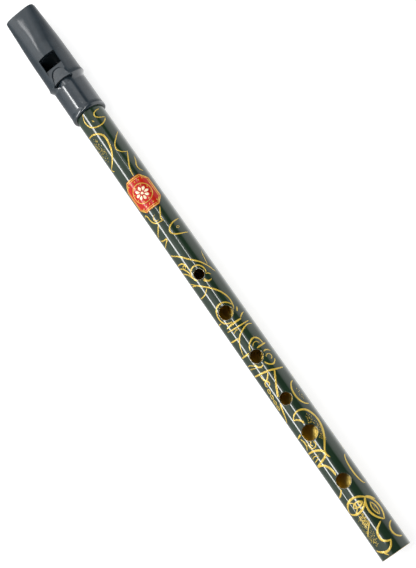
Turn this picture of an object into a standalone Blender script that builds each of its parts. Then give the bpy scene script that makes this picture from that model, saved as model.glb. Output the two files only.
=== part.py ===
"""Tin whistle: a painted brass tube with a moulded beak, held by a thin film so that the head can be tuned.

Frame: +X runs along the bore from the mouth to the foot, +Z is up through the window and the tone holes, and
z = 0 is the surface that the whistle lies on. Lengths in the constants are millimetres, made metres by MM.
"""
import math

import bmesh
import bpy
from mathutils import Matrix

MM = 0.001
SIDES = 48                                # sides of every round shape, with a flat at the bottom
HALF_SIDE = math.pi / SIDES

# Driving dimensions
LENGTH = 295.0
TUBE_OUTER, TUBE_INNER = 6.75, 6.35       # radii of a 13.5 mm tube with a 0.4 mm wall
COAT_INNER, COAT_OUTER = 6.78, 6.85       # the enamel, a coat of its own over the brass
FILM_INNER, FILM_OUTER = 6.88, 6.97       # the film that holds the head on the tube
SOCKET_RADIUS = 7.0
SLEEVE_RADIUS = 8.1                       # outside of the socket
BODY_RADIUS = 8.9                         # the head beside its window
RIM_RADIUS = 9.35                         # the flared lower edge of the head
BEAD_RADIUS = 8.3                         # the rounded lip where the tube goes in

MOUTH, FOOT = -LENGTH / 2, LENGTH / 2
WINDOW_START, WINDOW_END = -119.4, -113.1
RIM = -104.5                              # the flared edge, at its foremost point above the window's side
RIM_SLANT = math.tan(math.radians(13.0))  # the flared edge leans back towards the mouth, away from that point
SLANT_START, SLANT_FULL = -115.5, -109.0  # the slant grows between these stations
CONE_END = RIM + 2.4                      # where the cone behind the rim meets the sleeve
SLANT_END = -95.0                         # the slant has died out by here
SHOULDER = -101.5                         # the stop inside the socket
TUBE_START = -101.2
SLEEVE_END = -86.3
FILM_START, FILM_END = -100.4, -88.0
COAT_START, COAT_END = -100.9, 147.4

WINDOW_HALF = 4.3                         # half the width of window, windway, ramp and plug
CEILING_MOUTH, CEILING_WINDOW = 3.1, 6.9  # heights of the windway's roof above the axis
FLOOR_MOUTH, FLOOR_WINDOW = 1.6, 5.9      # heights of the windway's floor, the top of the plug
CHANNEL_DEPTH_MOUTH, CHANNEL_DEPTH_WINDOW = 2.1, 4.3   # the plug's underside, below the axis
PLUG_GAP = 0.05
BLADE_UNDERSIDE, BLADE_TOP = 6.0, 6.55    # the blade's edge stands just clear of the bore
BLADE_FLAT_END = -110.5
RAMP_TOP_X, RAMP_TOP_Z = -105.6, 9.1
SCOOP = ((-111.8, 0.0), (-111.65, 0.9), (-111.3, 1.6), (-110.8, 2.25), (-110.1, 2.8), (-109.2, 3.2),
         (-107.8, 3.6), (-106.3, 4.0), (-103.0, 5.6))  # x and half width of the scoop in the ramp
SCOOP_DEPTH, SCOOP_RIM_Z = 0.25, 8.1      # below the ramp where it starts, and above the axis at the rim
CUT_TOP = 14.0                            # cutters reach this high above the axis, clear of the head

HOLLOW_SPREAD = math.radians(36.0)        # half the angle that the hollow under the rim takes up
HOLLOW_REACH, HOLLOW_TIP = 2.7, 0.3       # how far it runs past the rim, in the middle and at its tips
HOLLOW_ROUNDING = 0.8                     # power that rounds the crescent's outline
HOLLOW_FLOOR, HOLLOW_CEILING = 7.05, 7.55
HOLLOW_LIP, HOLLOW_OPEN = 8.0, 10.5       # radii of its front edge, and of the cutter's top
HOLLOW_UNDER = 0.15                       # the ceiling ends this far past the rim
HOLLOW_BACK = -108.0                      # its blind end, under the ramp
HOLLOW_STEPS = 14

HOLE_SIDES = 32
HOLES = ((6.0, 4.8), (26.7, 6.4), (49.7, 5.9), (71.4, 5.4), (88.6, 6.9), (112.5, 6.3))  # centre x, diameter
HOLE_CUT = (3.0, 12.0)                    # the hole cutters span these heights, so only the top wall is cut
COAT_SETBACK = 0.12                       # the enamel stops this far short of each hole's edge

BADGE_CENTRE, BADGE_HALF_LENGTH = -39.0, 8.6
BADGE_INNER, BADGE_OUTER = 6.88, 6.94
BADGE_STEPS = 16                          # sides of the tube that the badge spans
BADGE_STRAIGHT, BADGE_CORNER = 0.5, 0.9   # share of its span at full length, and how fast it narrows after

AXIS_Z = RIM_RADIUS * math.cos(HALF_SIDE)  # height of the bore's axis above the rest surface

# Beak and body: x, half width, height above the axis, depth below the axis, squareness (2 is round)
HEAD_SECTIONS = (
    (MOUTH, 7.5, 3.7, 3.0, 3.0),
    (MOUTH + 0.35, 7.8, 4.0, 3.35, 3.0),
    (MOUTH + 1.1, 7.95, 4.3, 3.55, 2.9),
    (-142.5, 8.1, 5.2, 3.75, 2.65),
    (-137.5, 8.3, 6.1, 4.4, 2.45),
    (-133.0, 8.5, 6.95, 5.5, 2.3),
    (-129.0, 8.65, 7.65, 6.9, 2.2),
    (-125.0, 8.75, 8.15, 7.95, 2.15),
    (-120.5, 8.82, 8.45, 8.55, 2.12),
    (-115.5, 8.87, 8.75, 8.8, 2.05),
    (-110.0, BODY_RADIUS, BODY_RADIUS, BODY_RADIUS, 2.0),
    (RIM - 2.0, 8.95, 8.95, 8.95, 2.0),
    (RIM - 1.0, 9.1, 9.1, 9.1, 2.0),
    (RIM - 0.4, 9.28, 9.28, 9.28, 2.0),
    (RIM - 0.1, RIM_RADIUS, RIM_RADIUS, RIM_RADIUS, 2.0),
    (RIM + 0.1, RIM_RADIUS, RIM_RADIUS, RIM_RADIUS, 2.0),
    (RIM + 0.4, 9.2, 9.2, 9.2, 2.0),
    (RIM + 1.3, 8.5, 8.5, 8.5, 2.0),
    (CONE_END, SLEEVE_RADIUS, SLEEVE_RADIUS, SLEEVE_RADIUS, 2.0),
    (SLANT_END, SLEEVE_RADIUS, SLEEVE_RADIUS, SLEEVE_RADIUS, 2.0),
    (SLEEVE_END - 2.2, SLEEVE_RADIUS, SLEEVE_RADIUS, SLEEVE_RADIUS, 2.0),
    (SLEEVE_END - 1.5, BEAD_RADIUS, BEAD_RADIUS, BEAD_RADIUS, 2.0),
    (SLEEVE_END - 0.6, BEAD_RADIUS, BEAD_RADIUS, BEAD_RADIUS, 2.0),
    (SLEEVE_END - 0.15, 8.15, 8.15, 8.15, 2.0),
    (SLEEVE_END, 7.85, 7.85, 7.85, 2.0),
)


def clear_scene():
    for item in list(bpy.data.objects):
        bpy.data.objects.remove(item, do_unlink=True)


def principled(name, colour, roughness, metallic=0.0):
    material = bpy.data.materials.new(name)
    material.use_nodes = True
    shader = material.node_tree.nodes["Principled BSDF"]
    shader.inputs["Base Color"].default_value = (*colour, 1.0)
    shader.inputs["Roughness"].default_value = roughness
    shader.inputs["Metallic"].default_value = metallic
    material.diffuse_color = (*colour, 1.0)
    return material


def add_object(name, mesh_builder, material=None):
    """Turn a bmesh in millimetres about the bore's axis into an object in the part's frame."""
    bmesh.ops.remove_doubles(mesh_builder, verts=mesh_builder.verts, dist=1e-5)
    bmesh.ops.recalc_face_normals(mesh_builder, faces=mesh_builder.faces)
    bmesh.ops.scale(mesh_builder, vec=(MM, MM, MM), verts=mesh_builder.verts)
    mesh = bpy.data.meshes.new(name)
    mesh_builder.to_mesh(mesh)
    mesh_builder.free()
    item = bpy.data.objects.new(name, mesh)
    item.location = (0.0, 0.0, AXIS_Z * MM)     # every moving piece slides along, or turns about, this axis
    bpy.context.collection.objects.link(item)
    if material is not None:
        mesh.materials.append(material)
        mesh.shade_smooth()
        mesh.set_sharp_from_angle(angle=math.radians(30))
    return item


def loft(sections):
    """Closed solid through rings of points; each section is a list of (x, y, z) of the same length."""
    builder = bmesh.new()
    rings = [[builder.verts.new(point) for point in section] for section in sections]
    count = len(rings[0])
    for before, after in zip(rings, rings[1:]):
        for i in range(count):
            j = (i + 1) % count
            builder.faces.new((before[i], before[j], after[j], after[i]))
    builder.faces.new(rings[0])
    builder.faces.new(rings[-1])
    return builder


def power(value, exponent):
    return math.copysign(abs(value) ** exponent, value)


def smooth_step(share):
    return share * share * (3.0 - 2.0 * share)


def slanted(x, z):
    """Where a point of station x lies along the axis, once the slant of the flared edge is put in."""
    if x <= CONE_END:
        share = min(max((x - SLANT_START) / (SLANT_FULL - SLANT_START), 0.0), 1.0)
    else:
        share = max(1.0 - (x - CONE_END) / (SLANT_END - CONE_END), 0.0)
    return x - RIM_SLANT * (RIM_RADIUS - z) * smooth_step(share)


def head_ring(x, *shape):
    return [(slanted(x, z), y, z) for x, y, z in oval_ring(x, *shape)]


def oval_ring(x, half_width, height, depth, squareness):
    """Ring across the axis whose upper and lower halves may differ, with a flat at the very bottom."""
    points = []
    for k in range(SIDES):
        angle = (k + 0.5) * 2.0 * math.pi / SIDES
        y = half_width * power(math.sin(angle), 2.0 / squareness)
        z = power(math.cos(angle), 2.0 / squareness)
        points.append((x, y, z * (height if z > 0.0 else depth)))
    return points


def turned(profile, steps=SIDES):
    """Spin a closed outline of (x, radius) points about the axis into a ring-shaped solid."""
    builder = bmesh.new()
    verts = [builder.verts.new((x, 0.0, radius)) for x, radius in profile]
    edges = [builder.edges.new((verts[i], verts[(i + 1) % len(verts)])) for i in range(len(verts))]
    bmesh.ops.rotate(builder, verts=verts, matrix=Matrix.Rotation(math.pi / steps, 3, "X"))
    bmesh.ops.spin(builder, geom=verts + edges, cent=(0, 0, 0), axis=(1, 0, 0), angle=2.0 * math.pi,
                   steps=steps, use_merge=True)
    return builder


def tube_outline(start, end, inner, outer):
    return ((start, inner), (end, inner), (end, outer), (start, outer))


def rod(start, end, radius):
    """Solid cylinder along the axis."""
    return loft([oval_ring(x, radius, radius, radius, 2.0) for x in (start, end)])


def block(low, high):
    corners = ((low[1], low[2]), (high[1], low[2]), (high[1], high[2]), (low[1], high[2]))
    return loft([[(x, y, z) for y, z in corners] for x in (low[0], high[0])])


def extruded_along_y(outline, half_width):
    """Solid between y = -half_width and +half_width with the given (x, z) outline."""
    return loft([[(x, y, z) for x, z in outline] for y in (-half_width, half_width)])


def round_hole(x, radius):
    """Upright cutter through the tube's top wall only."""
    points = [(x + radius * math.cos(a), radius * math.sin(a))
              for a in (2.0 * math.pi * (k + 0.5) / HOLE_SIDES for k in range(HOLE_SIDES))]
    return loft([[(px, py, z) for px, py in points] for z in HOLE_CUT])


def channel_ring(x, half_width, top, bottom, corner=1.7, corner_steps=5):
    """Upright slot section: square corners at the top, rounded ones at the bottom."""
    points = [(x, -half_width, top), (x, half_width, top)]
    for side, first in ((1.0, 0.0), (-1.0, 90.0)):
        for k in range(corner_steps + 1):
            angle = math.radians(first + 90.0 * k / corner_steps)
            points.append((x, side * (half_width - corner) + corner * math.cos(angle),
                           bottom + corner - corner * math.sin(angle)))
    return points


def along(start, end, x):
    """Straight-line value at x between (mouth, start) and (window, end)."""
    return start + (end - start) * (x - MOUTH) / (WINDOW_START - MOUTH)


def channel_bottom(x):
    """The plug's underside follows the hollow under the beak."""
    reach = min(max((x - MOUTH) / (WINDOW_START - MOUTH), 0.0), 1.0)
    return -CHANNEL_DEPTH_MOUTH - (CHANNEL_DEPTH_WINDOW - CHANNEL_DEPTH_MOUTH) * smooth_step(reach)


def channel(inset, top_mouth, top_window, first_x, last_x):
    """Slot through the beak, or the plug in it, which share their stations between first_x and last_x."""
    inner = [MOUTH + (WINDOW_START - MOUTH) * k / 7 for k in range(1, 7)]
    return loft([channel_ring(x, WINDOW_HALF - inset, along(top_mouth, top_window, x),
                              channel_bottom(x) + inset) for x in (first_x, *inner, last_x)])


def ramp_height(x):
    slope = (RAMP_TOP_Z - BLADE_TOP) / (RAMP_TOP_X - WINDOW_END)
    return BLADE_TOP + slope * (x - WINDOW_END)


def scoop():
    """Thumb-shaped hollow in the ramp: arched towards the window, and wider and deeper towards the rim."""
    outline = [(x, -half) for x, half in SCOOP[::-1]] + [(x, half) for x, half in SCOOP[1:]]
    first_z = ramp_height(SCOOP[0][0]) - SCOOP_DEPTH
    slope = (SCOOP_RIM_Z - first_z) / (RIM - SCOOP[0][0])
    floor = [(x, y, first_z + slope * (x - SCOOP[0][0])) for x, y in outline]
    return loft([floor, [(x, y, CUT_TOP) for x, y in outline]])


def hood_hollow():
    """Crescent-shaped pocket under the rim on the window's side, cut into the front of the sleeve."""
    sections = []
    for k in range(HOLLOW_STEPS + 1):
        share = 2.0 * k / HOLLOW_STEPS - 1.0
        angle = HOLLOW_SPREAD * share
        bulge = math.cos(share * math.pi / 2.0) ** HOLLOW_ROUNDING
        end = RIM + HOLLOW_TIP + (HOLLOW_REACH - HOLLOW_TIP) * bulge
        under = RIM + HOLLOW_UNDER
        outline = ((HOLLOW_BACK, HOLLOW_FLOOR), (end - 0.25, HOLLOW_FLOOR), (end, HOLLOW_LIP),
                   (end + 0.2, HOLLOW_OPEN), (under, HOLLOW_OPEN), (under, HOLLOW_CEILING),
                   (HOLLOW_BACK, HOLLOW_FLOOR + 0.1))
        sections.append([(x, radius * math.sin(angle), radius * math.cos(angle)) for x, radius in outline])
    return loft(sections)


def cut(target, name, builder):
    """Subtract a hidden cutter from target."""
    cutter = add_object(name, builder)
    cutter.hide_render = True
    cutter.display_type = "WIRE"
    modifier = target.modifiers.new(name, "BOOLEAN")
    modifier.operation = "DIFFERENCE"
    modifier.solver = "EXACT"
    modifier.object = cutter
    return cutter


def make_mouthpiece():
    plastic = principled("slate moulded plastic", (0.085, 0.105, 0.125), 0.38)
    piece = add_object("mouthpiece", loft([head_ring(*section) for section in HEAD_SECTIONS]), plastic)
    cut(piece, "cut_bore", rod(WINDOW_START, SHOULDER + 0.5, TUBE_INNER))
    cut(piece, "cut_socket", rod(SHOULDER, SLEEVE_END + 2.0, SOCKET_RADIUS))
    cut(piece, "cut_channel", channel(0.0, CEILING_MOUTH, CEILING_WINDOW, MOUTH - 0.5, WINDOW_START + 0.2))
    cut(piece, "cut_window", block((WINDOW_START, -WINDOW_HALF, 0.0), (WINDOW_END, WINDOW_HALF, CUT_TOP)))
    cut(piece, "cut_blade_flat", block((WINDOW_END - 0.5, -WINDOW_HALF, 0.0),
                                       (BLADE_FLAT_END, WINDOW_HALF, BLADE_UNDERSIDE)))
    ramp = ((WINDOW_END - 0.2, BLADE_TOP), (WINDOW_END, BLADE_TOP), (RAMP_TOP_X, RAMP_TOP_Z),
            (RIM + 2.0, ramp_height(RIM + 2.0)), (RIM + 2.0, CUT_TOP), (WINDOW_END - 0.2, CUT_TOP))
    cut(piece, "cut_ramp", extruded_along_y(ramp, WINDOW_HALF))
    cut(piece, "cut_scoop", scoop())
    cut(piece, "cut_hood_hollow", hood_hollow())
    return piece


def make_fipple_plug():
    plastic = principled("slate plug plastic", (0.07, 0.085, 0.10), 0.45)
    plug = channel(PLUG_GAP, FLOOR_MOUTH, FLOOR_WINDOW, MOUTH + 0.15, WINDOW_START)
    return add_object("fipple_plug", plug, plastic)


def cut_tone_holes(target, name, allowance):
    for number, (x, diameter) in enumerate(HOLES, start=1):
        cut(target, f"cut_{name}_hole_{number}", round_hole(x, diameter / 2.0 + allowance))


def make_tube():
    brass = principled("drawn brass", (0.78, 0.57, 0.24), 0.28, 1.0)
    piece = add_object("tube", turned(tube_outline(TUBE_START, FOOT, TUBE_INNER, TUBE_OUTER)), brass)
    cut_tone_holes(piece, "tube", 0.0)
    return piece


def make_enamel_coat():
    enamel = principled("dark green enamel", (0.018, 0.045, 0.035), 0.12)
    shell = turned(tube_outline(COAT_START, COAT_END, COAT_INNER, COAT_OUTER))
    piece = add_object("enamel_coat", shell, enamel)
    cut_tone_holes(piece, "coat", COAT_SETBACK)
    return piece


def make_glue_film():
    adhesive = principled("amber adhesive", (0.55, 0.38, 0.16), 0.4)
    film = turned(tube_outline(FILM_START, FILM_END, FILM_INNER, FILM_OUTER))
    return add_object("glue_film", film, adhesive)


def make_badge():
    """Thin transfer on the coat, an eight-sided panel bent to the tube."""
    red = principled("red transfer", (0.55, 0.03, 0.02), 0.2)
    sections = []
    for k in range(-BADGE_STEPS // 2, BADGE_STEPS // 2 + 1):
        angle = k * 2.0 * HALF_SIDE
        share = abs(k) / (BADGE_STEPS / 2.0)
        reach = BADGE_HALF_LENGTH * (1.0 - BADGE_CORNER * max(share - BADGE_STRAIGHT, 0.0))
        ring = []
        for x, radius in tube_outline(BADGE_CENTRE - reach, BADGE_CENTRE + reach, BADGE_INNER, BADGE_OUTER):
            ring.append((x, radius * math.sin(angle), radius * math.cos(angle)))
        sections.append(ring)
    return add_object("badge_transfer", loft(sections), red)


def main():
    clear_scene()
    whistle = bpy.data.objects.new("whistle_axis", None)
    bpy.context.collection.objects.link(whistle)
    for make in (make_mouthpiece, make_fipple_plug, make_tube, make_enamel_coat, make_glue_film, make_badge):
        make().parent = whistle


main()
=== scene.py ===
"""Looks of the tin whistle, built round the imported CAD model.

Shapes are worked out in millimetres about the bore's axis: +X from the mouth to the foot, +Z up through the
holes, and angles round the tube measured from +Z towards +Y. add_piece() puts them in the model's frame.
"""
import math
import random

import bmesh
import bpy
import numpy as np
from mathutils import Matrix, Vector


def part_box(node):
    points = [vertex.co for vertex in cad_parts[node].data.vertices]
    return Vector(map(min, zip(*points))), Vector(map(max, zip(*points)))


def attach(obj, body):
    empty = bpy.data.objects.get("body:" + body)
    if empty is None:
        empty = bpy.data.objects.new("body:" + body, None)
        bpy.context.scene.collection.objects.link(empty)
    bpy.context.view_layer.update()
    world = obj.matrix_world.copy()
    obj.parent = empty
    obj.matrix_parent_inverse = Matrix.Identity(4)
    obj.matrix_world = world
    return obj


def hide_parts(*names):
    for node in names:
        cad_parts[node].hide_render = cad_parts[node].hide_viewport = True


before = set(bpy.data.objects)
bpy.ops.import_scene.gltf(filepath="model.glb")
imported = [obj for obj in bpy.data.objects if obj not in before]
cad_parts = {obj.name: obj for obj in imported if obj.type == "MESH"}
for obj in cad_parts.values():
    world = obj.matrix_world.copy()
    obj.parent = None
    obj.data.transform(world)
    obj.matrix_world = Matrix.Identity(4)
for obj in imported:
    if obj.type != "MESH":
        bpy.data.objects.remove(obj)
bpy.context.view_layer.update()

MM = 0.001
tube_low, tube_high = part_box("tube")
head_low, head_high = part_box("mouthpiece")
AXIS_Z = (tube_low.z + tube_high.z) / 2 / MM
MOUTH, FOOT = head_low.x / MM, tube_high.x / MM

# The tube and what is on it
TUBE_START = tube_low.x / MM
TUBE_INNER, TUBE_OUTER = 6.35, 6.75
COAT_START, COAT_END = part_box("enamel_coat")[0].x / MM, FOOT - 0.03
COAT_INNER, COAT_OUTER = 6.78, 6.85
HOLES = ((6.0, 4.8), (26.7, 6.4), (49.7, 5.9), (71.4, 5.4), (88.6, 6.9), (112.5, 6.3))  # centre x, diameter
COAT_SETBACK = 0.12     # bare metal left round each hole
TUBE_EDGE, COAT_EDGE = 0.14, 0.04       # how far the edges at the holes and ends are rounded

# The head
WINDOW_START, WINDOW_END, WINDOW_HALF = -119.4, -113.1, 4.3
RIM, SHOULDER, SLEEVE_END = -104.5, -101.5, head_high.x / MM
SOCKET_RADIUS, SLEEVE_RADIUS, BEAD_RADIUS, BODY_RADIUS, RIM_RADIUS = 7.0, 8.1, 8.3, 8.9, 9.31
RIM_SLANT = math.tan(math.radians(13.0))  # the flared edge leans back towards the mouth
SLANT_START, SLANT_FULL, SLANT_END = -115.5, -109.0, -95.0
CONE_END = RIM + 2.4
CEILING_MOUTH, CEILING_WINDOW = 3.1, 6.9
FLOOR_MOUTH, FLOOR_WINDOW = 1.6, 5.9
CHANNEL_DEPTH_MOUTH, CHANNEL_DEPTH_WINDOW = 2.1, 4.3
PLUG_GAP, PLUG_RECESS = 0.05, 0.15
OVERCUT, MIDDLE_OVERCUT, SHORT_OVERCUT = 2.0, 0.5, 0.2      # how far cutters reach past what they cut
BLADE_UNDERSIDE, BLADE_TOP, BLADE_FLAT_END = 6.0, 6.55, -110.5
RAMP_TOP_X, RAMP_TOP_Z = -105.6, 9.1
SCOOP = ((-111.8, 0.0), (-111.65, 0.9), (-111.3, 1.6), (-110.8, 2.25), (-110.1, 2.8), (-109.2, 3.2),
         (-107.8, 3.6), (-106.3, 4.0), (-103.0, 5.6))  # x and half width of the scoop in the ramp
SCOOP_DEPTH, SCOOP_RIM_Z = 0.40, 8.0
CUT_TOP = 14.0
HOLLOW_SPREAD = math.radians(36.0)
HOLLOW_REACH, HOLLOW_TIP, HOLLOW_ROUNDING = 2.7, 0.3, 0.8
HOLLOW_FLOOR, HOLLOW_CEILING, HOLLOW_LIP, HOLLOW_OPEN = 6.75, 7.55, 8.0, 10.5
HOLLOW_UNDER, HOLLOW_SETBACK, HOLLOW_BACK = 0.15, 1.1, -108.0
HOLLOW_FRONT, HOLLOW_RISE = 7.2, 0.5    # the floor's radius at its lip: at the tips, and more in the middle
HEAD_SIDES = 192
CARVED_SHARP = 28.0     # degrees between faces from which a carved piece's edge is sharp

# Beak and body: x, half width, height above the axis, depth below the axis, squareness (2 is round)
BODY_SECTIONS = (
    (MOUTH, 7.55, 3.5, 2.85, 3.4),
    (MOUTH + 0.08, 7.72, 3.72, 3.05, 3.4),
    (MOUTH + 0.3, 7.88, 3.98, 3.33, 3.3),
    (MOUTH + 1.1, 7.95, 4.3, 3.55, 2.9),
    (-142.5, 8.1, 5.2, 3.75, 2.65),
    (-137.5, 8.3, 6.1, 4.4, 2.45),
    (-133.0, 8.5, 6.95, 5.5, 2.3),
    (-129.0, 8.65, 7.65, 6.9, 2.2),
    (-125.0, 8.75, 8.15, 7.95, 2.15),
    (-120.5, 8.82, 8.42, 8.55, 2.12),
    (-115.5, 8.87, 8.71, 8.8, 2.05),
    *((x, radius, radius, radius, 2.0) for x, radius in (
        (-110.0, BODY_RADIUS), (RIM - 2.0, 8.95), (RIM - 1.0, 9.08), (RIM - 0.4, 9.25),
        (RIM - 0.1, RIM_RADIUS), (RIM + 0.1, RIM_RADIUS), (RIM + 0.4, 9.17), (RIM + 1.3, 8.5),
        (CONE_END, SLEEVE_RADIUS), (SLANT_END, SLEEVE_RADIUS), (SLEEVE_END - 2.25, SLEEVE_RADIUS))),
)
# Rounded lip: distance before the sleeve's end, radius
LIP_PROFILE = ((2.25, 8.1), (2.0, 8.14), (1.75, 8.23), (1.5, 8.29), (1.2, BEAD_RADIUS), (0.75, BEAD_RADIUS),
               (0.4, 8.24), (0.16, 8.1), (0.04, 7.92), (0.0, 7.75))


# -------------------- materials

GLOSS_SCALE = 2.7       # how much finer the gloss varies than the tone
LENGTHWAYS = (0.12, 1.0, 1.0)       # stretches a pattern into drawing marks along the tube


def set_sockets(tree, node, **sockets):
    """Give each named socket its value, or link it if the value is another node's output."""
    for name, value in sockets.items():
        socket = node.inputs[name.replace("_", " ")]
        if isinstance(value, bpy.types.NodeSocket):
            tree.links.new(value, socket)
        else:
            socket.default_value = value


def add_node(tree, kind, **sockets):
    node = tree.nodes.new("ShaderNode" + kind)
    set_sockets(tree, node, **sockets)
    return node


def new_material(name):
    """An empty material: its tree, its shader and its object coordinates come with it."""
    material = bpy.data.materials.new(name)
    material.use_nodes = True
    tree = material.node_tree
    return material, tree, tree.nodes["Principled BSDF"], add_node(tree, "TexCoord").outputs["Object"]


def noise(tree, coordinates, scale, detail, stretch=(1.0, 1.0, 1.0), roughness=0.5):
    mapping = add_node(tree, "Mapping", Vector=coordinates, Scale=stretch)
    texture = add_node(tree, "TexNoise", Vector=mapping.outputs["Vector"],
                       Scale=scale, Detail=detail, Roughness=roughness)
    return texture.outputs["Fac"]


def ramp(tree, value, stops):
    node = add_node(tree, "ValToRGB", Fac=value)
    elements = node.color_ramp.elements
    while len(elements) < len(stops):
        elements.new(0.5)
    for element, (position, colour) in zip(elements, stops):
        element.position = position
        element.color = (*colour, 1.0)
    return node.outputs["Color"]


def spread(tree, value, low, high):
    """From low to high over the middle of a noise's range."""
    node = add_node(tree, "MapRange", Value=value, From_Min=0.3, From_Max=0.7, To_Min=low, To_Max=high)
    return node.outputs["Result"]


def finish_of(name, stops, tone_scale, roughness, grain_scale, grain_height, stretch=(1.0, 1.0, 1.0),
              **sockets):
    """A tone that wanders between stops, uneven gloss, and fine relief of grain_height millimetres."""
    material, tree, shader, coordinates = new_material(name)
    tone = noise(tree, coordinates, tone_scale, 4.0, stretch)
    gloss = noise(tree, coordinates, tone_scale * GLOSS_SCALE, 6.0, stretch, 0.6)
    grain = noise(tree, coordinates, grain_scale, 2.0, stretch)
    bump = add_node(tree, "Bump", Height=grain, Strength=1.0, Distance=grain_height * MM)
    set_sockets(tree, shader, Base_Color=ramp(tree, tone, stops), Roughness=spread(tree, gloss, *roughness),
                Normal=bump.outputs["Normal"], **sockets)
    return material


def make_materials():
    return {
        "plastic": finish_of("slate_plastic", ((0.3, (0.016, 0.024, 0.031)), (0.7, (0.022, 0.032, 0.041))),
                             260.0, (0.10, 0.16), 4200.0, 0.0005, IOR=1.62),
        "plug": finish_of("plug_plastic", ((0.3, (0.018, 0.026, 0.032)), (0.7, (0.025, 0.035, 0.042))),
                          320.0, (0.28, 0.40), 4200.0, 0.003),
        "enamel": finish_of("green_enamel", ((0.25, (0.009, 0.021, 0.011)), (0.75, (0.013, 0.031, 0.016))),
                            90.0, (0.05, 0.09), 420.0, 0.0010),
        "gold": finish_of("gold_print", ((0.3, (0.48, 0.32, 0.030)), (0.7, (0.66, 0.47, 0.075))),
                          500.0, (0.18, 0.30), 3000.0, 0.001, Metallic=0.1),
        "brass": finish_of("drawn_brass", ((0.25, (0.50, 0.33, 0.09)), (0.6, (0.76, 0.55, 0.19)),
                                           (0.85, (0.86, 0.66, 0.28))),
                           300.0, (0.22, 0.38), 1500.0, 0.003, LENGTHWAYS, Metallic=1.0),
        "burnished": finish_of("burnished_edge", ((0.3, (0.36, 0.31, 0.20)), (0.7, (0.52, 0.47, 0.34))),
                               700.0, (0.26, 0.40), 2600.0, 0.002, Metallic=1.0),
        # The bore's brass is darker and duller than the outside: partly oxide inside the tube, partly painted
        # shade in the bore and on the tube's ends
        "bore": finish_of("drawn_bore", ((0.25, (0.50, 0.35, 0.07)), (0.6, (0.66, 0.48, 0.12)),
                                         (0.85, (0.74, 0.55, 0.17))),
                          240.0, (0.38, 0.50), 1500.0, 0.004, LENGTHWAYS, Metallic=1.0),
        "red": finish_of("red_print", ((0.3, (0.38, 0.010, 0.005)), (0.7, (0.48, 0.015, 0.008))),
                         420.0, (0.12, 0.20), 1600.0, 0.001, Specular_IOR_Level=0.25),
        "cream": finish_of("cream_print", ((0.3, (0.74, 0.66, 0.42)), (0.7, (0.86, 0.79, 0.56))),
                           600.0, (0.15, 0.25), 1600.0, 0.001),
        "adhesive": finish_of("amber_adhesive", ((0.3, (0.40, 0.24, 0.07)), (0.7, (0.62, 0.42, 0.16))),
                              700.0, (0.25, 0.5), 1400.0, 0.01),
    }


# -------------------- mesh tools

def add_piece(name, builder, material, body=None, replaces=(), sharp=32.0, merge=1e-4):
    """Turn a bmesh in millimetres about the bore's axis into a piece in the model's frame."""
    if merge:
        bmesh.ops.remove_doubles(builder, verts=builder.verts, dist=merge)
    bmesh.ops.recalc_face_normals(builder, faces=builder.faces)
    bmesh.ops.translate(builder, vec=(0.0, 0.0, AXIS_Z), verts=builder.verts)
    bmesh.ops.scale(builder, vec=(MM, MM, MM), verts=builder.verts)
    mesh = bpy.data.meshes.new(name)
    builder.to_mesh(mesh)
    builder.free()
    piece = bpy.data.objects.new(name, mesh)
    bpy.context.scene.collection.objects.link(piece)
    if material is not None:
        for part in material if isinstance(material, tuple) else (material,):
            mesh.materials.append(part)
        mesh.shade_smooth()
        mesh.set_sharp_from_angle(angle=math.radians(sharp))
    if body:
        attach(piece, body)
    if replaces:
        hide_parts(*replaces)
    return piece


def bridge(builder, before, after, closed=True, finish=0):
    """Faces between two rows of corners of the same length, wearing the piece's material number finish."""
    count = len(before)
    for i in range(count if closed else count - 1):
        j = (i + 1) % count
        builder.faces.new((before[i], before[j], after[j], after[i])).material_index = finish


def bridge_all(builder, rings, finish=0):
    for before, after in zip(rings, rings[1:]):
        bridge(builder, before, after, finish=finish)


def loft(sections):
    """Solid through rings of points of the same length."""
    builder = bmesh.new()
    rings = [[builder.verts.new(point) for point in section] for section in sections]
    bridge_all(builder, rings)
    builder.faces.new(rings[0])
    builder.faces.new(rings[-1])
    return builder


def around(x, angle, radius):
    return (x, radius * math.sin(angle), radius * math.cos(angle))


def power(value, exponent):
    return math.copysign(abs(value) ** exponent, value)


def oval_ring(x, half_width, height, depth, squareness):
    points = []
    for k in range(HEAD_SIDES):
        angle = (k + 0.5) * 2.0 * math.pi / HEAD_SIDES
        y = half_width * power(math.sin(angle), 2.0 / squareness)
        z = power(math.cos(angle), 2.0 / squareness)
        points.append((x, y, z * (height if z > 0.0 else depth)))
    return points


def round_ring(x, radius):
    return oval_ring(x, radius, radius, radius, 2.0)


def smooth_row(rows, x):
    """Row of the table at x, on a cubic through its rows that doesn't overshoot."""
    k = max(i for i in range(len(rows) - 1) if rows[i][0] <= x + 1e-9)
    left, right = rows[k], rows[k + 1]
    step = right[0] - left[0]
    t = (x - left[0]) / step
    values = [x]
    for c in range(1, len(left)):
        slope = (right[c] - left[c]) / step
        before = (left[c] - rows[k - 1][c]) / (left[0] - rows[k - 1][0]) if k else slope
        after = (rows[k + 2][c] - right[c]) / (rows[k + 2][0] - right[0]) if k + 2 < len(rows) else slope
        slope_left = 0.0 if before * slope <= 0 else 2.0 * before * slope / (before + slope)
        slope_right = 0.0 if after * slope <= 0 else 2.0 * after * slope / (after + slope)
        values.append(left[c] * (1 + 2 * t) * (1 - t) ** 2 + slope_left * step * t * (1 - t) ** 2
                      + right[c] * t * t * (3 - 2 * t) - slope_right * step * t * t * (1 - t))
    return values


# -------------------- head

def block(low, high):
    """Box between two opposite corners."""
    corners = ((low[1], low[2]), (high[1], low[2]), (high[1], high[2]), (low[1], high[2]))
    return loft([[(x, y, z) for y, z in corners] for x in (low[0], high[0])])


def along(start, end, x):
    """Value at station x that goes evenly from start at the mouth to end at the window."""
    return start + (end - start) * (x - MOUTH) / (WINDOW_START - MOUTH)


def smooth_step(share):
    return share * share * (3.0 - 2.0 * share)


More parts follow.
